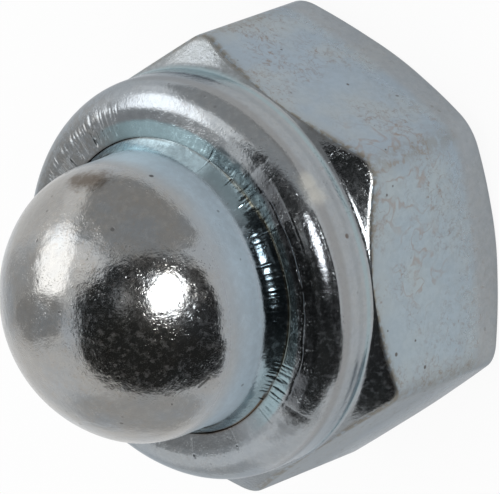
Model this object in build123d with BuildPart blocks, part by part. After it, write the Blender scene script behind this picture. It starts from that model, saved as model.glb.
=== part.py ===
"""Self-locking domed cap nut with a 10 mm coarse thread, 17 mm across the flats.

Three pieces: the turned hexagon nut with its thin-walled collar, the soft locking ring that lies
in the collar's recess, and the drawn sheet cap, whose foot is held down on the ring by the
collar's lip, rolled inwards over it.

Millimetres. The origin is the centre of the bearing face, and +Z runs along the thread towards
the dome. Two of the flats face +X and -X.
"""

import os
from math import asin, cos, degrees, radians, tan

from build123d import *

# Thread
thread_diameter = 10.0
thread_pitch = 1.5
thread_depth_factor = 1.0825  # nominal less minor diameter, in pitches, for a 60 degree thread
countersink_margin = 0.4  # mouth radius beyond the thread's outer radius
countersink_angle = 120.0  # included
thread_end_chamfer = 0.5

# Hexagon
across_flats = 17.0
corner_round = 0.6
hexagon_height = 8.05  # bearing face to the foot of the collar
bearing_inset = 0.25  # flats to the edge of the round bearing face
bearing_chamfer_angle = 30.0
collar_chamfer_angle = 38.0
overhang = 1.0  # how far the turned outline runs out past the corners

# Collar and its rolled lip
collar_inset = 0.05  # flats to the collar
collar_wall = 0.88
collar_height = 2.55  # foot of the collar to the flat top of the lip
roll_radius = 1.4
lip_thickness = 0.45

# Drawn cap
sheet_thickness = 0.6
bolt_clearance = 0.2  # bolt thread to the inside of the cap
foot_radius = 1.4
flange_flat = 0.1  # least flat width left at the cap's rim
knuckle_radius = 3.24
crown_excess = 0.3  # crown radius beyond the wall's radius
overall_height = 18.0

# Locking ring
ring_thickness = 2.45
ring_bite = 0.45  # how far the ring reaches in past the bolt thread's outer radius
ring_edge_chamfer = 0.2

# Clearances between the pieces
rim_clearance = 0.05  # cap's rim in the recess
ring_clearance = 0.07  # ring in the recess
seam_clearance = 0.05  # rolled lip to the curve of the cap's foot

# Radii that follow from the flats and the thread
flat_radius = across_flats / 2
corner_radius = flat_radius / cos(radians(30))
outline_radius = corner_radius + overhang
bearing_radius = flat_radius - bearing_inset
collar_radius = flat_radius - collar_inset
recess_radius = collar_radius - collar_wall
rim_radius = recess_radius - rim_clearance
minor_radius = (thread_diameter - thread_depth_factor * thread_pitch) / 2
cap_inner_radius = thread_diameter / 2 + bolt_clearance
cap_radius = cap_inner_radius + sheet_thickness

# Heights that follow from the stack of lip, sheet and ring
lip_top = hexagon_height + collar_height
foot_top = lip_top - lip_thickness
foot_underside = foot_top - sheet_thickness
recess_floor = foot_underside - ring_thickness

# The foot's curve is as large as the recess leaves room for
foot_curve = min(foot_radius, rim_radius - flange_flat - cap_radius)
wall_start = foot_top + foot_curve

# The knuckle touches the wall, the crown's centre is on the axis, and the two arcs are tangent
crown_radius = cap_radius + crown_excess
centres_apart = crown_radius - knuckle_radius
knuckle_start = asin((cap_radius - knuckle_radius) / centres_apart)
wall_end = overall_height - crown_radius + centres_apart * cos(knuckle_start)


def foot_and_dome(inset):
    """One skin of the cap, from its rim in to the wall and up to the axis, inset from the outer skin."""
    rim = Line(
        (rim_radius, foot_top - inset),
        (cap_radius + foot_curve, foot_top - inset),
    )
    foot = JernArc(start=rim @ 1, tangent=(-1, 0), radius=foot_curve + inset, arc_size=-90)
    wall = Line(foot @ 1, (cap_radius - inset, wall_end))
    knuckle = JernArc(
        start=wall @ 1,
        tangent=(0, 1),
        radius=knuckle_radius - inset,
        arc_size=90 - degrees(knuckle_start),
    )
    crown = JernArc(
        start=knuckle @ 1,
        tangent=knuckle % 1,
        radius=crown_radius - inset,
        arc_size=degrees(knuckle_start),
    )
    return rim @ 0, crown @ 1


# Hexagon nut: the turned outline, cut to the hexagon, then bored
with BuildPart() as nut_body:
    bearing_slope = tan(radians(bearing_chamfer_angle))
    collar_slope = tan(radians(collar_chamfer_angle))
    with BuildSketch(Plane.XZ):
        with BuildLine():
            turned = Polyline(
                (0, lip_top),
                (0, 0),
                (bearing_radius, 0),
                (outline_radius, (outline_radius - bearing_radius) * bearing_slope),
                (outline_radius, hexagon_height - (outline_radius - collar_radius) * collar_slope),
                (collar_radius, hexagon_height),
                (collar_radius, lip_top - roll_radius),
            )
            roll = JernArc(start=turned @ 1, tangent=(0, 1), radius=roll_radius, arc_size=90)
            Line(roll @ 1, turned @ 0)
        make_face()
    revolve(axis=Axis.Z)
    with BuildSketch():
        RegularPolygon(flat_radius, 6, major_radius=False, rotation=30)
        fillet(vertices(), corner_round)
    extrude(amount=lip_top, mode=Mode.INTERSECT)

    # The recess takes the ring and the cap's foot, and its upper end is the underside of the lip
    with BuildSketch(Plane.XZ):
        with BuildLine():
            recess = Polyline(
                (0, recess_floor),
                (recess_radius, recess_floor),
                (recess_radius, foot_top),
                (cap_radius + foot_curve + seam_clearance, foot_top),
            )
            underside = JernArc(start=recess @ 1, tangent=(-1, 0), radius=foot_curve, arc_size=-90)
            Polyline(
                underside @ 1,
                (cap_radius + seam_clearance, lip_top + overhang),
                (0, lip_top + overhang),
                (0, recess_floor),
            )
        make_face()
    revolve(axis=Axis.Z, mode=Mode.SUBTRACT)

    # Threaded hole at its minor diameter, countersunk in the bearing face
    with Locations(Plane(origin=(0, 0, 0), z_dir=(0, 0, -1))):
        CounterSinkHole(
            radius=minor_radius,
            counter_sink_radius=thread_diameter / 2 + countersink_margin,
            depth=lip_top,
            counter_sink_angle=countersink_angle,
        )
    bore_end = edges().filter_by(GeomType.CIRCLE).filter_by(lambda edge: abs(edge.radius - minor_radius) < 0.001)
    chamfer(bore_end.sort_by(Axis.Z)[-1], length=thread_end_chamfer)

# Locking ring: lies on the recess floor and grips the bolt
with BuildPart() as locking_ring:
    with BuildSketch(Plane.XY.offset(recess_floor)):
        Circle(recess_radius - ring_clearance)
        Circle(thread_diameter / 2 - ring_bite, mode=Mode.SUBTRACT)
    extrude(amount=ring_thickness)
    ring_bore = edges().filter_by(GeomType.CIRCLE).sort_by(SortBy.RADIUS)[:2]
    chamfer(ring_bore, length=ring_edge_chamfer)

# Dome cap: one thickness of sheet, drawn up from its flared foot
with BuildPart() as dome_cap:
    with BuildSketch(Plane.XZ):
        with BuildLine():
            outer_rim, outer_crown = foot_and_dome(0)
            inner_rim, inner_crown = foot_and_dome(sheet_thickness)
            Line(outer_rim, inner_rim)
            Line(outer_crown, inner_crown)
        make_face()
    revolve(axis=Axis.Z)

os.makedirs("parts", exist_ok=True)
nut_body.part.label = "nut_body"
export_step(nut_body.part, "parts/nut_body.step")
locking_ring.part.label = "locking_ring"
export_step(locking_ring.part, "parts/locking_ring.step")
dome_cap.part.label = "dome_cap"
export_step(dome_cap.part, "parts/dome_cap.step")
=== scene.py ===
"""Self-locking domed cap nut: the looks of its hexagon nut, drawn cap and locking ring.

Shapes are worked out in millimetres and written to the meshes in metres. The turned pieces come from
an outline that is spun round the thread's axis. Each point of an outline keeps its number on the ring
that it makes, and the finished place of a ring's points follows from that number and their azimuth.
"""

from math import cos, degrees, hypot, pi, radians, sin, sqrt, tan

import bmesh
import bpy
import numpy as np
from mathutils import Matrix, Vector


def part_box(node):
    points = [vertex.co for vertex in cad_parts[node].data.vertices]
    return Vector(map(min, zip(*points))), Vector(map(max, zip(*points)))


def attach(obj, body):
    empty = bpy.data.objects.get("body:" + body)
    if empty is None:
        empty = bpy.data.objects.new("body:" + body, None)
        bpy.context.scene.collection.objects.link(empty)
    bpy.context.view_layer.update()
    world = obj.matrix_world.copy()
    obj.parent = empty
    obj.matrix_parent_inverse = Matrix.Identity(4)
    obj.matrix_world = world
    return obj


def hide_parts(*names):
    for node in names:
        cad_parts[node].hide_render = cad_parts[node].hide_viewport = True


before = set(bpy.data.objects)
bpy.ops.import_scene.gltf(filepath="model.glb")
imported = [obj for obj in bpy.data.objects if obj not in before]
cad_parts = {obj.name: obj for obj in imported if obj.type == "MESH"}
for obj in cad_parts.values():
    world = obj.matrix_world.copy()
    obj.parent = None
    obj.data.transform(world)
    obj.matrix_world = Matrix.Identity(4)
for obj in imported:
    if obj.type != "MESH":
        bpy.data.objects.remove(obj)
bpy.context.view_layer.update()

mm = 0.001
around = 360  # points on a ring before any ring is made finer
gores = 20  # equal parts that a turned piece is made of

# Sizes that the frame gives
nut_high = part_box("nut_body")[1] / mm
cap_low, cap_high = (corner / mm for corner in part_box("dome_cap"))
ring_low, ring_high = (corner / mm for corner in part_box("locking_ring"))
flat_reach = nut_high.x
lip_top = nut_high.z
rim_reach = cap_high.x
foot_underside = cap_low.z
cap_top = cap_high.z
recess_floor = ring_low.z
ring_top = ring_high.z
ring_reach = ring_high.x

# Hexagon
side_angle = radians(30)
corner_rounds = (1.5, 1.2, 0.9, 0.7, 0.9, 1.0)  # from the corner at 30 degrees, round by 60 degrees
hexagon_height = 8.05
bearing_reach = flat_reach - 0.25
bearing_slope = tan(radians(30))
collar_slope = tan(radians(38))
chamfer_drop = 0.08  # most that a narrow part of the collar's chamfer falls below its slope
drop_width = 0.2  # width of the chamfer where it does
corner_crowding = 0.1  # how much the hexagon's columns crowd towards its corners

# Thread
thread_pitch = 1.5
thread_reach = 5.0
minor_reach = 4.188
mouth_reach = 5.4
mouth_slope = tan(radians(60))
run_out_reach = 4.688
thread_start = 0.2

# Collar, its rolled lip and the recess under it
collar_reach = flat_reach - 0.05
collar_line_height = hexagon_height + 0.65
collar_line_depth = 0.014
roll_radius = 1.4
tighter_roll = 0.15  # how much smaller it is where the lip leans most
recess_reach = 7.57
lip_thickness = 0.45
crease_depth = 0.016

# Drawn cap
sheet = 0.6
cap_reach = 5.8
foot_radius = 1.4
knuckle_radius = 3.24
crown_radius = 6.1
broken_edge = 0.05

# Locking ring
ring_bore = thread_reach - 0.45
bore_edge = 0.2

# On the camera's side the cap's foot is tighter and starts higher, by a share from 0 to 1, and the lip
# leans outwards, by a share of its own.
seam_gap = 0.004
foot_top = lip_top - lip_thickness
foot_centre = (cap_reach + foot_radius, foot_top + foot_radius)
full_lean = radians(16)
tight_foot = 1.08  # radius of the foot's curve where it is tightest
tight_turn = radians(75)  # how far that curve turns before the seam
tight_centre = foot_centre[1] + 0.49
tight_seam = 0.7  # share of the foot's way that this curve takes
flat_seam = np.arcsin((foot_centre[1] - lip_top) / foot_radius) / (pi / 2)


def foot_line(share, tight):
    """Reach and height of the foot's outside, from the wall at share 0 to its flange at share 1."""
    turn = share * pi / 2
    wide_reach = cap_reach + foot_radius * (1 - np.cos(turn))
    wide_height = foot_centre[1] - foot_radius * np.sin(turn)
    turn = np.minimum(share / tight_seam, 1) * tight_turn
    hidden = np.clip((share - tight_seam) / (1 - tight_seam), 0, 1)
    reach = cap_reach + tight_foot * (1 - np.cos(turn))
    reach = reach + (foot_centre[0] - reach) * hidden
    height = tight_centre - tight_foot * np.sin(turn)
    height = height + (foot_top - height) * hidden
    return np.array([wide_reach + (reach - wide_reach) * tight, wide_height + (height - wide_height) * tight])


def seam_share(tight):
    """The share of the foot's way at which the lip meets it."""
    return flat_seam + (tight_seam - flat_seam) * tight**3


def seam_point(tight):
    """Reach and height of the lip's edge, just clear of the foot."""
    reach, height = foot_line(seam_share(tight), tight)
    return reach + seam_gap, height


def noise_round(azimuth, seed, waves):
    """A smooth random line round the axis, about -1 to 1, with so many waves in the turn at most."""
    draw = np.random.default_rng(seed)
    counts = np.arange(1, waves + 1)
    heights = draw.normal(0, 1, waves) / sqrt(waves)
    shifts = draw.uniform(0, 2 * pi, waves)
    return (heights[:, None] * np.cos(counts[:, None] * azimuth[None] + shifts[:, None])).sum(0)


def sector(azimuth, start, end, soft):
    """1 from one azimuth to another in degrees, falling to 0 over so many degrees beyond each."""
    return np.interp(np.degrees(azimuth), [start - soft, start, end, end + soft], [0, 1, 1, 0])


# Meshes and pieces


def turned(outline, closed=False, rise=0.0):
    """Spins an outline of (reach, height) points about the axis, rising so far in the turn.

    A narrow gore is spun first and then repeated. Each point's number stays on its ring.
    """
    bm = bmesh.new()
    ring = bm.verts.layers.float.new("ring")
    verts = [bm.verts.new((reach, 0, height)) for reach, height in outline]
    for number, vert in enumerate(verts):
        vert[ring] = number
    pairs = list(zip(verts, verts[1:]))
    if closed:
        pairs.append((verts[-1], verts[0]))
    edges = [bm.edges.new(pair) for pair in pairs]
    spin = {"axis": (0, 0, 1), "cent": (0, 0, 0), "use_merge": False, "use_normal_flip": False}
    bmesh.ops.spin(
        bm,
        geom=verts + edges,
        angle=2 * pi / gores,
        steps=around // gores,
        dvec=(0, 0, rise / around),
        use_duplicate=False,
        **spin,
    )
    bmesh.ops.spin(
        bm,
        geom=bm.verts[:] + bm.edges[:] + bm.faces[:],
        angle=2 * pi * (gores - 1) / gores,
        steps=gores - 1,
        dvec=(0, 0, rise / gores),
        use_duplicate=True,
        **spin,
    )
    bmesh.ops.remove_doubles(bm, verts=bm.verts, dist=0.0005)
    return bm


def finer(bm, first, end):
    """Cuts each edge of the rings from one number up to another in three."""
    ring = bm.verts.layers.float["ring"]
    fine = []
    for edge in bm.edges:
        numbers = {round(vert[ring]) for vert in edge.verts}
        if len(numbers) == 1 and first <= min(numbers) < end:
            fine.append(edge)
    bmesh.ops.subdivide_edges(bm, edges=fine, cuts=2, use_grid_fill=True)


def rings_of(bm):
    """The ring number and the azimuth of each vert, as arrays, in the order of bm.verts."""
    ring = bm.verts.layers.float["ring"]
    number = np.rint([vert[ring] for vert in bm.verts]).astype(int)
    azimuth = np.array([np.arctan2(vert.co.y, vert.co.x) for vert in bm.verts])
    return number, azimuth


def place(bm, reach, height, azimuth):
    """Moves every vert to its reach, height and azimuth."""
    for vert, r, z, a in zip(bm.verts, reach, height, azimuth):
        vert.co = (r * cos(a), r * sin(a), z)


def write_shares(bm, **shares):
    """Writes arrays of shares, one value a vert, as attributes that a finish reads."""
    for name, values in shares.items():
        layer = bm.verts.layers.float.new(name)
        for vert, value in zip(bm.verts, np.clip(values, 0, 1)):
            vert[layer] = value


def placed(name, bm, material):
    """An object at the origin, made of a bmesh that is then freed."""
    mesh = bpy.data.meshes.new(name)
    bm.to_mesh(mesh)
    bm.free()
    mesh.materials.append(material)
    made = bpy.data.objects.new(name, mesh)
    bpy.context.scene.collection.objects.link(made)
    return made


def finished(name, bm, material, node):
    """Writes a bmesh of millimetres to a piece that stands for a CAD node and rides on the one body."""
    bmesh.ops.remove_doubles(bm, verts=bm.verts, dist=0.0005)
    bmesh.ops.dissolve_degenerate(bm, dist=0.0002, edges=bm.edges)
    bmesh.ops.recalc_face_normals(bm, faces=bm.faces)
    bmesh.ops.scale(bm, vec=(mm, mm, mm), verts=bm.verts)
    for face in bm.faces:
        face.smooth = True
    piece = placed(name, bm, material)
    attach(piece, "root")
    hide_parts(node)


# Outlines and the marks pressed into them


def arc(centre, radius, start, end, points):
    """Points of an arc in the outline's plane, from one angle to another in degrees."""
    angles = np.radians(np.linspace(start, end, points))
    return [(centre[0] + radius * cos(a), centre[1] + radius * sin(a)) for a in angles]


def marks(seed, within, count, low, high, width, depth):
    """Random radial marks within two azimuths in degrees: (azimuth, from, to, width, depth) for each."""
    draw = np.random.default_rng(seed)
    found = []
    for azimuth in np.linspace(*within, count) + draw.normal(0, 0.4 * (within[1] - within[0]) / count, count):
        start = low + draw.uniform(0, 0.25) * (high - low)
        end = high - draw.uniform(0, 0.5) * (high - low)
        found.append((azimuth, start, end, width * draw.uniform(0.6, 1.5), depth * draw.uniform(0.2, 1.4)))
    return found


def pressed(found, reach, azimuth):
    """How deep a list of radial marks is pressed in at each reach and azimuth."""
    depth = np.zeros(len(reach))
    for middle, low, high, width, deep in found:
        off = (azimuth - radians(middle) + pi) % (2 * pi) - pi
        across = np.exp(-((off * reach / width) ** 2))
        fade = min(0.12, (high - low) / 2)
        along = np.clip((reach - low) / fade, 0, 1) * np.clip((high - reach) / fade, 0, 1)
        depth += deep * across * along
    return depth


def hump(off, width):
    """A smooth rise, 1 where off is 0 and falling to nothing over a few widths."""
    return np.exp(-((off / width) ** 2))


def outward(outline):
    """The unit normal of an open outline at each of its points, on the right of its run."""
    run = np.gradient(np.array(outline), axis=0)
    run /= np.hypot(run[:, 0], run[:, 1])[:, None]
    return np.stack([run[:, 1], -run[:, 0]], axis=1)


# Hexagon nut


def hexagon_side(azimuth):
    """Distance from the axis to the hexagon's side at an azimuth, round its corners."""
    turn = np.abs((azimuth + side_angle) % (2 * side_angle) - side_angle)
    corner_round = np.array(corner_rounds)[np.floor(azimuth / (2 * side_angle)).astype(int) % 6]
    middle = (flat_reach - corner_round) / cos(side_angle)
    off = side_angle - turn
    inside = np.maximum(corner_round**2 - (middle * np.sin(off)) ** 2, 0)
    rounded = middle * np.cos(off) + np.sqrt(inside)
    tangent = np.arctan((flat_reach - corner_round) * tan(side_angle) / flat_reach)
    return np.where(turn > tangent, rounded, flat_reach / np.cos(turn))


def spread(count):
    """Shares of a straight's length for so many points, closer together near its ends."""
    return [0.5 - 0.5 * cos(pi * step / (count + 1)) for step in range(1, count + 1)]


# Shares of the lip's band, from the roll to the lip's edge, with points crowded round its crease
crease_share = 0.4
flat_crease_share = 0.25  # where the lip doesn't lean
near_crease = [0.02, 0.04, 0.06, 0.085, 0.12, 0.17, 0.24, 0.33]
band = [crease_share - off for off in reversed(near_crease)]
band += [crease_share, *[crease_share + off for off in near_crease], 0.8, 0.87, 0.93, 0.97]


def band_share(share, lean):
    """A share of the lip's band, moved so that its crease lies further out where it doesn't lean."""
    crease = flat_crease_share + (crease_share - flat_crease_share) * np.clip(lean, 0, 1)
    beyond = 1 - (1 - share) * (1 - crease) / (1 - crease_share)
    return share / crease_share * crease if share < crease_share else beyond


def bearing_corner(side, lean, tight):
    return (side, (side - bearing_reach) * bearing_slope)


def chamfer_corner(side, lean, tight):
    """The collar chamfer's outer edge: the chamfer is a little steeper where it is narrow."""
    width = side - collar_reach
    drop = chamfer_drop * width / drop_width * np.exp(1 - width / drop_width)
    return (side, hexagon_height - width * collar_slope - drop)


def roll_corner(side, lean, tight):
    reach, height = seam_point(tight)
    return (collar_reach, height - np.tan(full_lean * lean) * (collar_reach - reach))


# Each corner of the nut's section: reach and height for a distance to the hexagon's side and for the
# shares of the lip's lean and the foot's tightness, the radius that rounds it, the points on that
# rounding, and how the points on the straight that follows are shared out
under_lip = [0.15, 0.3, 0.5, 0.7, 0.85]
nut_corners = [
    (lambda side, lean, tight: (mouth_reach, 0), 0.1, 3, spread(3)),
    (lambda side, lean, tight: (bearing_reach, 0), 0.2, 4, spread(3)),
    (bearing_corner, 0.35, 6, spread(9)),
    (chamfer_corner, 0.5, 7, spread(5)),
    (lambda side, lean, tight: (collar_reach, hexagon_height), 0.45, 9, spread(14)),
    (roll_corner, roll_radius, 24, band),
    (lambda side, lean, tight: seam_point(tight), 0.008, 5, under_lip),
    (lambda side, lean, tight: (foot_centre[0] + seam_gap, foot_top + 0.001), 0.03, 3, spread(2)),
    (lambda side, lean, tight: (recess_reach, foot_top), 0.03, 3, spread(3)),
    (lambda side, lean, tight: (recess_reach, recess_floor), 0.03, 3, spread(3)),
]
nut_start = (mouth_reach - thread_start * mouth_slope, thread_start)
nut_end = (run_out_reach, recess_floor)


def first_ring(corner):
    """The number of the ring where a corner's rounding starts."""
    return 1 + sum(on_arc + len(shares) for _, _, on_arc, shares in nut_corners[:corner])


bearing_edge = first_ring(2)
chamfer_edge = first_ring(3)
collar_foot = first_ring(4)
roll_start = first_ring(5)
lip_edge = first_ring(6)
underside = lip_edge + nut_corners[6][2]
crease_ring = lip_edge - len(band) + band.index(crease_share)


def corner_line(before, corner, after, radius, count, most):
    """Points on the arc that rounds a corner, as count arrays of (reach, height) rows.

    The arc takes up no more than a share, most, of the shorter straight beside it.
    """
    to_before = before - corner
    to_after = after - corner
    run_before = np.hypot(*to_before)
    run_after = np.hypot(*to_after)
    to_before = to_before / run_before
    to_after = to_after / run_after
    half = np.arccos(np.clip((to_before * to_after).sum(0), -1, 1)) / 2
    cut = np.minimum(radius / np.tan(half), most * np.minimum(run_before, run_after))
    radius = cut * np.tan(half)
    middle = to_before + to_after
    centre = corner + middle / np.hypot(*middle) * radius / np.sin(half)
    start = (corner + to_before * cut - centre) / radius
    end = (corner + to_after * cut - centre) / radius
    sweep = pi - 2 * half
    lines = []
    for step in np.linspace(0, 1, count):
        turn = (np.sin((1 - step) * sweep) * start + np.sin(step * sweep) * end) / np.sin(sweep)
        lines.append(centre + turn * radius)
    return lines


def rounding(number, corners, lean, count):
    """Points on the rounding of one of the nut's corners, between the corners before and after it."""
    corner, radius, _, _ = nut_corners[number]
    most = 0.45
    if corner is roll_corner:
        radius = roll_radius - tighter_roll * lean
        most = 0.95
    return corner_line(*corners[number : number + 3], radius, count, most)


def nut_section(side, lean, tight):
    """The nut's section, ring by ring, for arrays of distances to the hexagon's side and of shares."""
    whole = np.ones_like(side)
    corners = [np.array(nut_start)[:, None] * whole]
    for corner, _, _, _ in nut_corners:
        reach, height = corner(side, lean, tight)
        corners.append(np.stack([reach * whole, height * whole]))
    corners.append(np.array(nut_end)[:, None] * whole)
    lines = [corners[0]]
    for number, (corner, _, on_arc, shares) in enumerate(nut_corners):
        if corner is roll_corner:
            shares = [band_share(share, lean) for share in shares]
        bend = rounding(number, corners, lean, on_arc)
        following = corners[-1]
        if number + 1 < len(nut_corners):
            following = rounding(number + 1, corners, lean, 2)[0]
        lines += bend
        lines += [bend[-1] * (1 - share) + following * share for share in shares]
    lines.append(corners[-1])
    return lines


def thread_wall(height, azimuth):
    """Distance from the axis to the threaded wall, with the countersink and the run-out."""
    phase = ((height - thread_pitch * azimuth / (2 * pi)) / thread_pitch) % 1
    flank = (thread_reach - minor_reach) * tan(radians(30)) / thread_pitch
    crest = 1 / 4
    root = 1 - crest - 2 * flank
    stops = [0, crest, crest + flank, crest + flank + root, 1]
    threaded = np.interp(phase, stops, [minor_reach, minor_reach, thread_reach, thread_reach, minor_reach])
    mouth = mouth_reach - height * mouth_slope
    run_out = run_out_reach - (recess_floor - height)
    return np.maximum(threaded, np.maximum(mouth, run_out))


# What the rolling left on the lip: azimuth in degrees, from and to in millimetres from the axis, half
# width and depth in millimetres
lip_cracks = [
    (61.3, 6.1, 6.85, 0.03, 0.035),
    (49.7, 6.1, 6.5, 0.03, 0.03),
    (-48.3, 6.2, 7.15, 0.03, 0.03),
    (-67.6, 6.15, 6.95, 0.03, 0.03),
    (-67.7, 6.93, 7.1, 0.045, 0.07),
    (-88.2, 6.35, 7.05, 0.028, 0.025),
    (-88.0, 7.05, 7.25, 0.045, 0.07),
    (145.3, 6.6, 7.2, 0.045, 0.05),
    (134.7, 6.3, 6.9, 0.04, 0.06),
    (119.7, 6.4, 6.8, 0.04, 0.05),
    (-120.0, 6.2, 6.9, 0.03, 0.04),
    (178.0, 6.2, 6.8, 0.03, 0.04),
    (-151.0, 6.3, 7.0, 0.03, 0.04),
]
lip_pleats = (
    marks(11, (106, 150), 44, 6.35, 7.6, 0.036, 0.03)
    + marks(18, (106, 150), 26, 6.9, 7.9, 0.04, 0.02)
    + marks(12, (66, 104), 14, 6.3, 7.2, 0.05, 0.006)
    + marks(13, (18, 66), 22, 6.25, 7.0, 0.045, 0.008)
    + marks(15, (-46, -25), 15, 6.25, 7.0, 0.035, 0.028)
    + marks(16, (-100, -58), 8, 6.2, 7.1, 0.05, 0.004)
    + marks(17, (152, 260), 60, 6.3, 7.4, 0.05, 0.012)
)
# Fine ridges round the roll: rings from its start, from and to in degrees, height in millimetres
roll_ridges = [(21, 15, 36, 0.02), (7, -5, 24, 0.016)]


def lip_lean(azimuth):
    """Which share of its full lean the lip has at an azimuth."""
    turns = [-180, -110, -54, -47, -39, -30, 45, 58, 75, 90, 112, 140, 180]
    lean = np.interp(np.degrees(azimuth), turns, [0, 0, 0, 0.3, 0.95, 1.05, 1.05, 0.7, 0.6, 0.35, 0.12, 0, 0])
    return np.clip(lean + 0.04 * noise_round(azimuth, 5, 14), 0, 1.1)


def foot_tight(azimuth):
    """How tight the cap's foot is at an azimuth, from 0 to 1."""
    turns = [-180, -72, -62, -45, -38, -25, -11, 0, 26, 38, 49, 62, 80, 93, 110, 125, 180]
    tight = [0, 0, 0.15, 0.35, 0.55, 0.8, 0.92, 1, 1, 0.82, 0.75, 0.6, 0.5, 0.3, 0.05, 0, 0]
    return np.interp(np.degrees(azimuth), turns, tight)


def nut_points(number, azimuth, last):
    """Reach and height of the nut's points before the lip is marked, up to the last ring."""
    reach = np.zeros(len(number))
    height = np.zeros(len(number))
    for ring_number in range(last + 1):
        on_ring = np.flatnonzero(number == ring_number)
        turn = azimuth[on_ring]
        tight = foot_tight(turn)
        line = nut_section(hexagon_side(turn), lip_lean(turn), tight)[ring_number]
        if underside <= ring_number < underside + len(under_lip):
            share = (ring_number - underside + 1) / (len(under_lip) + 1)
            foot = foot_line(seam_share(tight) + (1 - seam_share(tight)) * share, tight)
            line = foot + np.array([[seam_gap], [0.006]])
        reach[on_ring] = line[0]
        height[on_ring] = line[1]
    top = number == last
    reach[top] = thread_wall(height[top], azimuth[top])
    return reach, height


def lip_relief(number, reach, azimuth):
    """How deep the rolling's marks go at each point of the lip, and how deep its cracks alone."""
    on_lip = (number >= roll_start) & (number < underside)
    crack = np.where(on_lip, pressed(lip_cracks, reach, azimuth), 0)
    pleat = np.where(on_lip, pressed(lip_pleats, reach, azimuth), 0)
    uneven = np.clip(1 + 0.5 * noise_round(azimuth, 8, 120), 0, 2)
    relief = crease_depth * uneven * sector(azimuth, -36, 30, 12) * hump(number - crease_ring, 1.3)
    for rings, start, end, high in roll_ridges:
        relief = relief - high * sector(azimuth, start, end, 4) * hump(number - roll_start - rings, 0.7)
    return np.where(on_lip, relief, 0) + pleat + crack, crack


def nut_shares(number, azimuth):
    """What the nut's finish reads: its flats, their worn edges and the lip's edge at the seam."""
    middle = (bearing_edge + collar_foot) / 2
    flat = np.clip((chamfer_edge + 5 - middle - np.abs(number - middle)) / 3, 0, 1)
    off_corner = np.degrees(azimuth) % 60 - 30
    corner_worn = 0.5 * hump(off_corner, 3) * (flat > 0)
    near_worn = hump(number - chamfer_edge - 3, 2.8)
    far_worn = 0.15 * hump(number - bearing_edge - 3, 1.5)
    worn = np.maximum(np.maximum(corner_worn, near_worn), far_worn)
    return {"flat": flat, "worn": worn, "seam": hump(number - lip_edge - 2, 2.5)}


def nut_blank():
    """The nut without its thread, as a bmesh in millimetres."""
    start_side = np.array([flat_reach / cos(side_angle) - 0.1])
    outline = [(line[0, 0], line[1, 0]) for line in nut_section(start_side, np.zeros(1), np.zeros(1))]
    bm = turned(outline)
    finer(bm, roll_start, underside)
    number, azimuth = rings_of(bm)
    # Columns crowd towards the hexagon's corners, and are even on the collar and round the countersink
    on_hexagon = np.clip(np.minimum(number - 3, collar_foot + 4 - number) / 4, 0, 1)
    azimuth = azimuth + corner_crowding * on_hexagon * np.sin(6 * azimuth)
    reach, height = nut_points(number, azimuth, len(outline) - 1)
    wavy = 0.03 * noise_round(azimuth, 7, 40) * np.clip(lip_lean(azimuth), 0, 1)
    reach = reach + wavy * hump(number - crease_ring, 5)
    depth, crack = lip_relief(number, reach, azimuth)
    normal = outward(outline)[number]
    reach = reach - normal[:, 0] * depth
    height = height - normal[:, 1] * depth
    on_collar = (number > collar_foot + 3) & (number < roll_start)
    off_line = height - collar_line_height - 0.03 * np.sin(azimuth)
    reach = reach - np.where(on_collar, collar_line_depth * hump(off_line, 0.07), 0)
    place(bm, reach, height, azimuth)
    write_shares(bm, crack=crack / 0.08, **nut_shares(number, azimuth))
    return bm


def nut_thread():
    """The threaded wall: one pitch of rows after the other, spun up the helix and kept within the bore."""
    stops = np.array([0, 1 / 8, 1 / 4, 0.406, 0.5625, 0.625, 0.6875, 0.844])
    rows = np.concatenate([(turn + stops) * thread_pitch for turn in range(-1, 6)])
    bm = turned([(minor_reach, row) for row in rows], rise=thread_pitch)
    height = np.clip([vert.co.z for vert in bm.verts], thread_start, recess_floor)
    azimuth = rings_of(bm)[1]
    place(bm, thread_wall(height, azimuth), height, azimuth)
    return bm


# Drawn cap

wall_points = 9
foot_points = 26


def cap_outline():
    """The cap's section from the axis over its outside, round the rim and back up its inside.

    With it come the numbers of the points where its straight wall and its foot start.
    """
    apart = crown_radius - knuckle_radius
    knuckle_reach = cap_reach - knuckle_radius
    lean = degrees(np.arccos(knuckle_reach / apart))
    crown_height = cap_top - crown_radius
    knuckle_height = crown_height + sqrt(apart**2 - knuckle_reach**2)
    crown, knuckle = (0, crown_height), (knuckle_reach, knuckle_height)
    top = [*arc(crown, crown_radius, 90, lean, 34)[:-1], *arc(knuckle, knuckle_radius, lean, 0, 16)]
    wall = [(cap_reach, z) for z in np.linspace(knuckle_height, foot_centre[1], wall_points + 1)[1:-1]]
    foot = arc(foot_centre, foot_radius, 180, 270, foot_points)
    outside = [*top, *wall, *foot, (rim_reach - broken_edge, foot_top), (rim_reach, foot_top - broken_edge)]
    inside = [
        (rim_reach, foot_underside + broken_edge),
        (rim_reach - broken_edge, foot_underside),
        *arc(foot_centre, foot_radius + sheet, 270, 180, 12),
        *[(cap_reach - sheet, z) for z in np.linspace(foot_centre[1], knuckle_height, 4)[1:-1]],
        *arc(knuckle, knuckle_radius - sheet, 0, lean, 8),
        *arc(crown, crown_radius - sheet, lean, 90, 18)[1:],
    ]
    return outside + inside, len(top) - 1, len(top) + len(wall)


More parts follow.
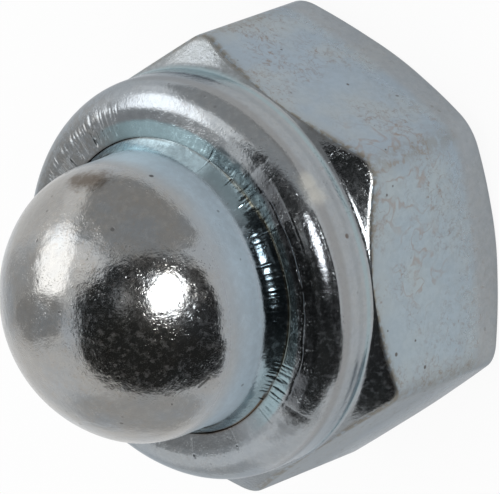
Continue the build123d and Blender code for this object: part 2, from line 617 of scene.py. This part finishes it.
# What the rolling left on the foot, in the same terms as on the lip
foot_marks = (
    marks(21, (28, 75), 24, 5.95, 6.3, 0.04, 0.007)
    + marks(24, (-10, 30), 9, 5.85, 6.2, 0.08, 0.022)
    + marks(27, (-10, 30), 9, 5.85, 6.15, 0.03, 0.012)
    + marks(22, (-50, -24), 20, 5.98, 6.3, 0.035, 0.018)
    + marks(26, (-80, -50), 12, 6.0, 6.3, 0.04, 0.006)
    + marks(23, (75, 150), 16, 5.9, 6.3, 0.045, 0.005)
    + marks(25, (150, 280), 40, 5.9, 6.3, 0.045, 0.01)
    + [(61.3, 5.85, 6.4, 0.03, 0.03), (49.7, 5.95, 6.4, 0.03, 0.025), (38.7, 5.9, 6.4, 0.03, -0.02)]
    + [(26.3, 5.9, 6.4, 0.05, -0.02), (23.7, 5.9, 6.4, 0.04, -0.012), (9.7, 5.9, 6.4, 0.05, -0.012)]
)


def drawn_cap():
    """The cap as a bmesh in millimetres, with the marks that the rolling left on its foot."""
    outline, wall_start, foot_start = cap_outline()
    bm = turned(outline)
    finer(bm, foot_start, foot_start + foot_points - 5)
    number, azimuth = rings_of(bm)
    profile = np.array(outline)
    reach, height = profile[number, 0], profile[number, 1]
    tight = foot_tight(azimuth)
    share = np.clip((number - foot_start) / (foot_points - 1), 0, 1)
    foot = foot_line(share, tight)
    on_foot = (number >= foot_start) & (number < foot_start + foot_points)
    reach = np.where(on_foot, foot[0], reach)
    height = np.where(on_foot, foot[1], height)
    wall_top = profile[wall_start, 1]
    on_wall = (number >= wall_start) & (number < foot_start)
    wall_share = (number - wall_start) / wall_points
    height = np.where(on_wall, wall_top + (foot_line(0, tight)[1] - wall_top) * wall_share, height)
    # The marks lie where the foot meets the lip
    seam_reach = seam_point(0.0)[0]
    way = cap_reach + (seam_reach - cap_reach) * share / seam_share(tight)
    depth = np.where(on_foot, pressed(foot_marks, way, azimuth), 0)
    normal = outward(outline)[number]
    reach = reach - normal[:, 0] * depth
    height = height - normal[:, 1] * depth
    place(bm, np.where(reach < 0.0001, 0, reach), height, azimuth)
    seam = hump(share - seam_share(tight), 0.022) * on_foot
    wall = np.minimum((number - wall_start + 7) / 5, (foot_start + 5 - number) / 4)
    write_shares(bm, crack=depth / 0.06, seam=seam, wall=wall)
    return bm


def ring_outline():
    """The locking ring's section, with its edges broken."""
    low, high, hollow = recess_floor, ring_top, 0.3 * bore_edge
    return [
        (ring_bore, low + bore_edge),
        (ring_bore + hollow, low + hollow),
        (ring_bore + bore_edge, low),
        *[(r, low) for r in np.linspace(ring_bore + bore_edge, ring_reach - broken_edge, 6)[1:]],
        (ring_reach, low + broken_edge),
        (ring_reach, high - broken_edge),
        *[(r, high) for r in np.linspace(ring_reach - broken_edge, ring_bore + bore_edge, 6)],
        (ring_bore + hollow, high - hollow),
        (ring_bore, high - bore_edge),
        *[(ring_bore, z) for z in np.linspace(high - bore_edge, low + bore_edge, 6)[1:-1]],
    ]


# Finishes


class Socket:
    """An output of a node. Sums and products of sockets add the Math nodes that work them out."""

    def __init__(self, finish, output):
        self.finish = finish
        self.output = output

    def maths(self, operation, *others):
        return self.finish.node("Math", {"operation": operation}, dict(enumerate((self, *others))))

    def __add__(self, other):
        return self.maths("ADD", other)

    __radd__ = __add__

    def __mul__(self, other):
        return self.maths("MULTIPLY", other)

    __rmul__ = __mul__

    def __sub__(self, other):
        return self.maths("SUBTRACT", other)

    def __rsub__(self, other):
        return self * -1 + other

    def step(self, low, high):
        """0 up to low, 1 from high on, and smooth between; low may be the larger."""
        settings = {"interpolation_type": "SMOOTHSTEP"}
        return self.finish.node("MapRange", settings, {"Value": self, "From Min": low, "From Max": high})

    def close_to(self, middle, far, near):
        """1 within near of a value, and 0 from far on."""
        return (self - middle).maths("ABSOLUTE").step(far, near)

    def beside(self, name):
        """Another output of the same node."""
        return Socket(self.finish, self.output.node.outputs[name])


class Finish:
    """A material and its nodes. Its places are in millimetres from the centre of the bearing face."""

    def __init__(self, name, shader="BsdfPrincipled"):
        self.material = bpy.data.materials.new(name)
        self.material.use_nodes = True
        self.tree = self.material.node_tree
        self.tree.nodes.clear()
        self.surface = self.tree.nodes.new("ShaderNodeOutputMaterial").inputs["Surface"]
        self.lit = self.node(shader)
        self.show(self.lit)

    def node(self, kind, settings=None, sockets=None, output=0):
        """Adds a node: its settings first, then the values or links of its sockets."""
        made = self.tree.nodes.new("ShaderNode" + kind)
        for name, value in (settings or {}).items():
            setattr(made, name, value)
        self.fill(made, sockets or {})
        return Socket(self, made.outputs[output])

    def fill(self, made, sockets):
        for name, value in sockets.items():
            if isinstance(value, Socket):
                self.tree.links.new(value.output, made.inputs[name])
            else:
                made.inputs[name].default_value = value

    def put(self, **sockets):
        """Sets or links the shader's own sockets, named with underscores for spaces."""
        self.fill(self.lit.output.node, {name.replace("_", " "): value for name, value in sockets.items()})

    def show(self, shader):
        self.tree.links.new(shader.output, self.surface)

    def show_blend(self, share, first, second):
        """Shows the first shader where the share is 0 and the second where it is 1."""
        self.show(self.node("MixShader", {}, {0: share, 1: first, 2: second}))

    def spot(self):
        """The place of a point of the piece, in millimetres."""
        metres = self.node("TexCoord", output="Object")
        return self.node("VectorMath", {"operation": "SCALE"}, {0: metres, "Scale": 1 / mm})

    def noise(self, spot, scale, detail=2.0, rough=0.5, distortion=0.0):
        values = {"Vector": spot, "Scale": scale, "Detail": detail, "Roughness": rough}
        return self.node("TexNoise", {}, {**values, "Distortion": distortion}, output="Fac")

    def mix(self, share, first, second):
        settings = {"data_type": "RGBA", "clamp_factor": True}
        return self.node("Mix", settings, {0: share, 6: first, 7: second}, output=2)

    def bump(self, height, thickness):
        """A bump from a height that is given in units of a thickness in metres."""
        values = {"Strength": 1.0, "Distance": thickness, "Height": height}
        return self.node("Bump", {}, values, output="Normal")

    def attribute(self, name):
        return self.node("Attribute", {"attribute_name": name}, output="Fac")


def colour_of(red, green, blue):
    """A colour as it looks on a screen, 0 to 255, as the linear values that a shader takes."""
    shares = [value / 255 for value in (red, green, blue)]
    return (*(s / 12.92 if s <= 0.04045 else ((s + 0.055) / 1.055) ** 2.4 for s in shares), 1)


class Zinc(Finish):
    """Zinc plate: a drifting grey with stains, pits and a pebbled skin. Colours are screen values."""

    def __init__(self, name, cool, warm):
        super().__init__(name)
        spot = self.place = self.spot()
        self.x = self.node("SeparateXYZ", {}, {0: spot}, output="X")
        self.y, self.z = self.x.beside("Y"), self.x.beside("Z")
        self.reach = (self.x * self.x + self.y * self.y).maths("SQRT")
        self.azimuth = self.y.maths("ARCTAN2", self.x) * degrees(1)
        self.fine = self.noise(spot, 8, 2, 0.55)
        clumps = self.noise(spot, 1.6, 3, 0.6).step(0.42, 0.62)
        self.specks = (self.noise(spot, 12, 1, 0.5) - 0.58).maths("MAXIMUM", 0) * clumps
        self.grain = self.noise(spot, 3.2, 4, 0.65)
        region = self.noise(spot, 0.3, 2, 0.5)
        flecks = self.noise(spot, 3.4, 4, 0.7).step(0.54, 0.66)
        outlines = self.noise(spot, 1.7, 3, 0.6, 0.6).close_to(0.5, 0.03, 0.0)
        self.stain = (flecks + outlines * 0.8) * region.step(0.34, 0.54)
        cells = self.node("TexVoronoi", {}, {"Vector": spot, "Scale": 1.6}, output="Distance")
        pit_size = self.noise(spot, 1.1, 2, 0.5).step(0.45, 0.68) * 0.15
        self.pit = (pit_size - cells).step(-0.02, 0.04)
        self.haze = self.noise(spot, 3.6, 3, 0.65).step(0.48, 0.74)
        drift = self.noise(spot, 0.33, 3, 0.6).step(0.36, 0.64)
        self.colour = self.mix(drift, colour_of(*cool), colour_of(*warm))

    def tint(self, share, *colour):
        """Lays a screen colour over the plate's colour by a share."""
        self.colour = self.mix(share, self.colour, colour_of(*colour))

    def between(self, low, high, soft=4):
        """1 from one azimuth to another in degrees, and 0 beyond them."""
        return self.azimuth.step(low - soft, low + soft) * self.azimuth.step(high + soft, high - soft)

    def near(self, *spots):
        """1 at the centre of any of some spots, and 0 from its size away on."""
        share = 0.0
        for centre, size in spots:
            ends = {0: self.place, 1: centre}
            away = self.node("VectorMath", {"operation": "DISTANCE"}, ends, output="Value")
            share = away.step(size, 0).maths("MAXIMUM", share)
        return share

    def seam_colours(self):
        """Rust, brass and dirt in the seam between the lip and the cap's foot, by where they are."""
        seam = self.attribute("seam")
        self.tint(seam * 0.75, 96, 88, 78)
        self.tint(seam * self.between(-84, -38), 92, 70, 44)
        self.tint(seam * self.between(-81, -76, 1), 26, 22, 20)
        self.tint(seam * self.between(-43, -40, 1), 26, 22, 20)
        self.tint(seam * self.between(-25, 48, 8) * 0.7, 176, 174, 150)
        self.tint(seam * self.between(100, 150, 6) * 0.9, 44, 38, 34)
        self.tint(self.attribute("crack").step(0.15, 0.9) * 0.85, 30, 34, 36)

    def finish_with(self, rough, height, dull):
        """Sets the surface. height is in thousandths of a millimetre, and dull makes it less of a mirror."""
        bump = self.bump(height, 1e-6)
        self.put(Base_Color=self.colour, Roughness=rough, Metallic=1 - dull, Normal=bump)
        return self.material


# Single marks, stained places and painted highlights: the centre and the size of each, in millimetres
stained_corners = [((8.4, 4.4, 5.6), 4.2), ((8.5, 0.2, 5.0), 2.6)]
collar_pit = ((8.13, 2.3, 8.85), 0.16)
# Painted highlights: two soft pale patches on the roll's outer edge
painted_collar_highlights = [((7.05, 4.6, 9.65), 0.9), ((7.35, 4.15, 9.6), 0.9)]
smudges = [((0.3, 5.4, 14.6), 1.5), ((-0.3, 5.35, 14.7), 1.4), ((-0.8, 5.35, 14.6), 1.0)]
scratch = [((4.68 + 0.055 * step, -2.71 + 0.053 * step, 14.71 - 0.047 * step), 0.1) for step in range(7)]
dome_pit = ((2.075, 5.412, 13.34), 0.16)


def nut_finish():
    """The nut: satin and stained on the flats, bright and pebbled elsewhere, teal on the lip, with painted
    light and shade on some flats, the chamfer, the roll and the lip.
    """
    zinc = Zinc("zinc_on_nut", (157, 171, 183), (166, 175, 180))
    flat = zinc.attribute("flat")
    turned_part = flat.step(0.4, 0.1)
    worn = zinc.attribute("worn")
    wander = zinc.noise(zinc.place, 2.0, 2, 0.5) * 0.16 - 0.08
    reach = zinc.reach + wander

    # The nut's zones, from the flats up to the lip's edge
    above = hexagon_height
    chamfer = zinc.z.step(above + 0.25, above + 0.05) * zinc.z.step(5, 6) * flat.step(0.6, 0.2)
    far_chamfer = chamfer * zinc.between(70, 140)
    side = zinc.reach.step(collar_reach - 0.15, collar_reach - 0.03) * turned_part
    collar_rim = (zinc.z + wander).close_to(above + 0.35, 0.5, 0.25) * zinc.between(74, 135, 10)
    collar_rim = collar_rim * zinc.reach.step(collar_reach + 0.25, collar_reach + 0.1) * turned_part
    roll = zinc.z.step(lip_top - 1.2, lip_top - 0.7) * turned_part
    rolled_worn = roll * zinc.between(112, 179, 12) * (zinc.grain.step(0.6, 0.4) * 0.5 + 0.15)
    shaded_lamp_streak = (zinc.reach + wander * 0.5).close_to(8.1, 0.28, 0.12) * roll * zinc.between(-8, 26)
    on_lip = zinc.z.step(lip_top - 0.35, lip_top - 0.2)
    beyond = reach.step(6.9, 7.05) * reach.step(7.85, 7.6) * on_lip
    outer_band = reach.step(7.2, 7.0) * on_lip
    inner_band = reach.step(7.0, 6.8) * on_lip

    # Flats, their worn edges and the chamfer, with painted light and shade on some flats and a painted dark
    # reflection on the chamfer
    # Painted light: the flats round azimuth 0 are made lighter and bluer
    zinc.tint(flat * zinc.between(-28, 28, 6) * 0.35, 170, 184, 188)
    zinc.tint(turned_part * 0.7, 163, 165, 166)
    zinc.tint(zinc.stain * (flat * 0.5 + 0.12), 140, 127, 117)
    rings = zinc.noise(zinc.place, 0.8, 2, 0.5, 0.7).close_to(0.5, 0.04, 0.01)
    stained = zinc.near(*stained_corners).step(0, 0.6) * zinc.grain.step(0.3, 0.6) * flat
    zinc.tint(stained * rings * 0.6, 150, 138, 130)
    zinc.tint(zinc.grain.step(0.64, 0.36) * 0.2, 126, 134, 142)
    # Painted shade: the flats from azimuth -95 to -30 are made darker, against their bright grazing
    # reflection
    zinc.tint(flat * zinc.between(-95, -30) * 0.6, 118, 124, 128)
    zinc.tint(worn * zinc.grain.step(0.34, 0.56) * 0.85, 122, 115, 102)
    # Painted dark reflection: the chamfer from azimuth 14 to 50 is made dark grey
    zinc.tint(chamfer * zinc.between(14, 50) * 0.5, 84, 86, 88)
    zinc.tint(far_chamfer * (zinc.grain.step(0.6, 0.44) * 0.5 + 0.05), 138, 142, 142)
    zinc.tint(zinc.pit * (flat * 0.6 + 0.25), 84, 76, 70)
    zinc.tint(zinc.near(collar_pit).step(0.1, 0.5) * 0.8, 88, 66, 50)

    # The collar's side, with a line below the roll, one at its middle and one at its foot
    zinc.tint(side * zinc.z.close_to(above + 1.6, 0.4, 0.1) * 0.5, 134, 132, 130)
    zinc.tint(side * zinc.z.close_to(collar_line_height + 0.05, 0.22, 0.05) * 0.3, 132, 138, 142)
    zinc.tint(side * (zinc.z + wander * 0.5).close_to(above + 0.25, 0.2, 0.03) * 0.45, 150, 178, 184)
    zinc.tint(collar_rim * 0.65, 128, 158, 166)

    # The lip's bands and its roll, with painted highlights, painted shade and painted dark reflections
    zinc.tint(inner_band * zinc.between(-130, -60) * 0.5, 120, 122, 124)
    zinc.tint(inner_band * zinc.between(-52, 116, 9) * 0.65, 142, 172, 180)
    # Painted highlight: the inner band from azimuth 62 to 108 is made pale teal and duller, as the bright
    # window's reflection running on from the roll
    zinc.tint(inner_band * zinc.between(62, 108, 10) * 0.6, 176, 206, 214)
    mottled = zinc.grain.step(0.66, 0.42) * 0.4 + 0.45
    # Painted dark reflection: the outer band from azimuth 26 to 62 is made dark teal, mottled by the grain
    zinc.tint(outer_band * zinc.between(26, 62, 6) * mottled, 62, 76, 82)
    # Painted dark reflection: the roll's top from azimuth -39 to 43 is made dark, with its specks left light
    zinc.tint(beyond * zinc.between(-39, 43, 5) * zinc.specks.step(0.05, 0.02) * 0.75, 76, 78, 82)
    # Painted shade: the roll is made darker where the lamp's highlight runs along it, which dims and breaks
    # up that highlight
    zinc.tint(shaded_lamp_streak * (zinc.grain.step(0.35, 0.55) * 0.3 + 0.55), 84, 86, 90)
    zinc.tint(rolled_worn, 138, 136, 132)
    # Painted highlight: a soft warm white patch on the roll's outer edge, ragged by the grain
    painted_highlight_share = zinc.near(*painted_collar_highlights) + zinc.grain * 0.6 - 0.3
    zinc.tint(painted_highlight_share.step(0.1, 1.1) * 0.5, 214, 212, 202)
    zinc.seam_colours()

    zinc.put(Specular_Tint=(0.7, 0.74, 0.78, 1))
    rough = flat * 0.22 + 0.17 + zinc.stain * 0.06 + (zinc.grain - 0.5) * 0.14
    glossy = flat * -0.75 + 1
    pebbled = glossy * (chamfer * zinc.between(10, 55) + 1)
    height = zinc.fine * glossy * 5 + zinc.specks * pebbled * 26 + zinc.grain * 5 - zinc.pit * 5
    dark_roll = (zinc.azimuth + zinc.grain * 14 - 7).step(-38, -45) * zinc.azimuth.step(-70, -62) * roll
    dull = flat * 0.4 + zinc.haze * glossy * 0.14 + rolled_worn * 0.4 + dark_roll * 0.65
    dull = dull + collar_rim * 0.7 + far_chamfer * 0.3 + inner_band * zinc.between(64, 100, 8) * 0.36
    return zinc.finish_with(rough, height, dull)


def cap_finish():
    """The drawn cap: bright and pebbled, neutral on the crown, bluer down its wall and teal on its foot, with
    a painted pale reflection low on its wall and a painted highlight and painted shade on its foot.
    """
    zinc = Zinc("zinc_on_cap", (158, 163, 167), (163, 162, 159))
    ragged = zinc.noise(zinc.place, 3.0, 4, 0.7)
    wander = zinc.noise(zinc.place, 1.2, 2, 0.5) * 0.6 - 0.3
    wall = zinc.attribute("wall")
    on_wall = wall.step(0, 1)
    painted_foot_highlight = wall.step(0.5, 0) * zinc.z.step(12.0, 11.7) * zinc.between(60, 100)
    painted_dark_foot = wall.step(0.4, 0) * zinc.z.step(12.2, 11.9) * zinc.between(-14, 34, 6)
    zinc.tint(zinc.stain * 0.2, 166, 154, 140)
    zinc.tint((zinc.z + wander).step(14.4, 12.4) * 0.7, 156, 171, 183)
    zinc.tint((zinc.z + wander * 0.4).step(11.9, 11.2) * 0.6, 142, 169, 176)
    # Painted highlight: the foot from azimuth 60 to 100 is made pale blue and duller, as a bright reflection
    zinc.tint(painted_foot_highlight * (ragged.step(0.35, 0.6) * 0.5 + 0.4), 206, 232, 242)
    # Painted reflection: the hazed wall is made paler low down, as a pale band
    zinc.tint(on_wall * zinc.z.step(13.6, 12.4) * 0.5, 180, 200, 214)
    # Painted shade: the foot from azimuth -14 to 34 is made dark, as a dark reflection that also dims the
    # lamp's highlights on it
    zinc.tint(painted_dark_foot * (zinc.grain.step(0.34, 0.56) * 0.4 + 0.5), 60, 72, 80)
    zinc.tint(zinc.grain.step(0.66, 0.4) * 0.14, 118, 120, 124)
    zinc.tint(zinc.pit * 0.5, 72, 68, 66)
    zinc.tint((zinc.near(*smudges) + ragged * 1.2).step(1.0, 1.6) * 0.8, 92, 80, 68)
    zinc.tint(zinc.near(*scratch).step(0.05, 0.6) * 0.8, 62, 62, 62)
    zinc.tint(zinc.near(dome_pit).step(0.1, 0.6) * 0.9, 50, 48, 48)
    zinc.seam_colours()
    rough = zinc.grain * 0.12 + 0.1 + zinc.stain * 0.05 + on_wall * 0.25
    dents = zinc.noise(zinc.place, 0.75, 2, 0.5) * 55
    height = zinc.fine * 6 + zinc.specks * 26 + zinc.grain * 5 + dents - zinc.pit * 5
    return zinc.finish_with(rough, height, zinc.haze * 0.14 + on_wall * 0.72 + painted_foot_highlight * 0.3)


def nylon_finish():
    """Natural nylon, faintly waxy, with a fine moulded grain."""
    nylon = Finish("white_nylon")
    spot = nylon.spot()
    drift = nylon.noise(spot, 0.8, 3, 0.6)
    grain = nylon.noise(spot, 6, 3, 0.6)
    colour = nylon.mix(drift, (0.84, 0.82, 0.76, 1), (0.9, 0.89, 0.85, 1))
    nylon.put(Base_Color=colour, Roughness=grain * 0.1 + 0.42, Normal=nylon.bump(grain, 2e-6))
    return nylon.material


# Pieces

nut = nut_blank()
thread_mesh = bpy.data.meshes.new("thread")
nut_thread().to_mesh(thread_mesh)
nut.from_mesh(thread_mesh)
bpy.data.meshes.remove(thread_mesh)
finished("hexagon_nut", nut, nut_finish(), "nut_body")
finished("drawn_cap", drawn_cap(), cap_finish(), "dome_cap")
finished("nylon_ring", turned(ring_outline(), closed=True), nylon_finish(), "locking_ring")

# Camera at the photograph's viewing angle

view_azimuth = radians(20.0016)
view_elevation = radians(46.1357)
view_roll = radians(110.6896)
view_distance = 324.479
view_aim = Vector((1.5163, 0.9114, 7.3309))
view_lens = 576

level = cos(view_elevation)
back = Vector((cos(view_azimuth) * level, sin(view_azimuth) * level, sin(view_elevation)))
level_right = Vector((-sin(view_azimuth), cos(view_azimuth), 0))
level_up = back.cross(level_right)
view_up = level_up * cos(view_roll) + level_right * sin(view_roll)
view_right = view_up.cross(back)
camera_data = bpy.data.cameras.new("photo_camera")
camera_data.lens = view_lens
camera_data.sensor_width = 36
camera_data.clip_start = 0.01
camera_data.clip_end = 20
camera = bpy.data.objects.new("photo_camera", camera_data)
camera_turn = Matrix((view_right, view_up, back)).transposed().to_4x4()
camera.matrix_world = Matrix.Translation((view_aim + back * view_distance) * mm) @ camera_turn
bpy.context.scene.collection.objects.link(camera)
bpy.context.scene.camera = camera

# Studio

eye = Vector((0, 0, 13)) * mm  # the cards stand round this place, in the dome
card_floor = 1.5 * mm  # a card that reaches down to the floor goes on along it at this height
nearest = 38 * mm


def seen(right, up):
    """The direction so many degrees to the photo's right and up from the camera."""
    angle = hypot(right, up)
    across = (view_right * right + view_up * up) / max(angle, 0.001)
    return (back * cos(radians(angle)) + across * sin(radians(angle))).normalized()


def card(name, middle, half, lean, strength, soft, box=0.0, distance=0.6):
    """A card bent round the dome, out of the camera's sight, that fades out towards its edge.

    middle and half are in degrees from the camera, to the right and up. It is an oval, or nearer to a
    box with box up to 1, and lean turns it.
    """
    bm = bmesh.new()
    bmesh.ops.create_grid(bm, x_segments=40, y_segments=40, size=1)
    edge = bm.verts.layers.float.new("edge")
    turn = Matrix.Rotation(radians(lean), 2)
    for vert in bm.verts:
        across, along = vert.co.x, vert.co.y
        vert[edge] = min((1 - max(abs(across), abs(along))) / soft, 1)
        round_share = (1 - box) / 2
        off = Vector((across * sqrt(1 - round_share * along**2), along * sqrt(1 - round_share * across**2)))
        off = turn @ Vector((off.x * half[0], off.y * half[1]))
        way = seen(middle[0] + off.x, middle[1] + off.y)
        reach = distance
        if eye.z + way.z * distance < card_floor:
            reach = max((card_floor - eye.z) / way.z, nearest)
        vert.co = eye + way * reach
    finish = Finish(name, "Emission")
    finish.put(Color=(1, 1, 1, 1), Strength=strength)
    finish.show_blend(finish.attribute("edge").step(0, 1), finish.node("BsdfTransparent"), finish.lit)
    piece = placed(name, bm, finish.material)
    piece.visible_camera = False
    piece.visible_diffuse = False
    piece.visible_shadow = False


card("grey_card", (-6, 66), (56, 40), 0, 0.48, 0.1, box=0.15, distance=0.70)
card("left_card", (-116, 0), (38, 56), 0, 0.62, 0.6, distance=0.72)
card("low_left_card", (-96, -20), (32, 26), 0, 0.44, 0.2, distance=0.68)
card("low_card", (-10, -104), (80, 26), 0, 0.66, 0.4, distance=0.72)
card("dark_card", (2, -26), (63, 57), 0, 0.03, 0.05, box=0.1, distance=0.62)
card("dark_floor_card", (46, -44), (27, 22), -20, 0.03, 0.15, distance=0.60)
card("window_card", (-78, 28), (20, 38), -12, 2.8, 0.45, distance=0.55)
card("side_window_card", (-50, 27), (12, 19), 0, 1.3, 0.25, distance=0.54)
card("top_window_card", (-66, 78), (14, 18), 0, 1.2, 0.5, distance=0.53)
card("body_card", (-20, -4), (7, 10), 0, 0.5, 0.4, distance=0.56)
card("lamp_card", (14, -1), (13, 15), 0, 14.0, 0.45, distance=0.50)


def floor_finish():
    """A pale floor that the camera sees nearly white, and the metal a little brighter than lit."""
    pale = Finish("pale_floor")
    pale.put(Base_Color=(0.85, 0.85, 0.85, 1), Roughness=0.9, Specular_IOR_Level=0.0)
    seen_by_camera = pale.node("LightPath", output="Is Camera Ray")
    glossy = seen_by_camera.beside("Is Glossy Ray")
    through = seen_by_camera.beside("Is Transmission Ray")
    glow = pale.node("Emission", {}, {"Strength": 1.0})
    pale.show_blend(seen_by_camera * 0.92 + glossy.maths("MAXIMUM", through) * 0.4, pale.lit, glow)
    return pale.material


floor_bm = bmesh.new()
bmesh.ops.create_grid(floor_bm, x_segments=1, y_segments=1, size=3)
placed("floor", floor_bm, floor_finish())

world = bpy.data.worlds.new("studio")
bpy.context.scene.world = world
world.use_nodes = True
world.node_tree.nodes["Background"].inputs["Color"].default_value = (1, 1, 1, 1)
world.node_tree.nodes["Background"].inputs["Strength"].default_value = 1.0

bpy.context.scene.view_settings.view_transform = "Standard"
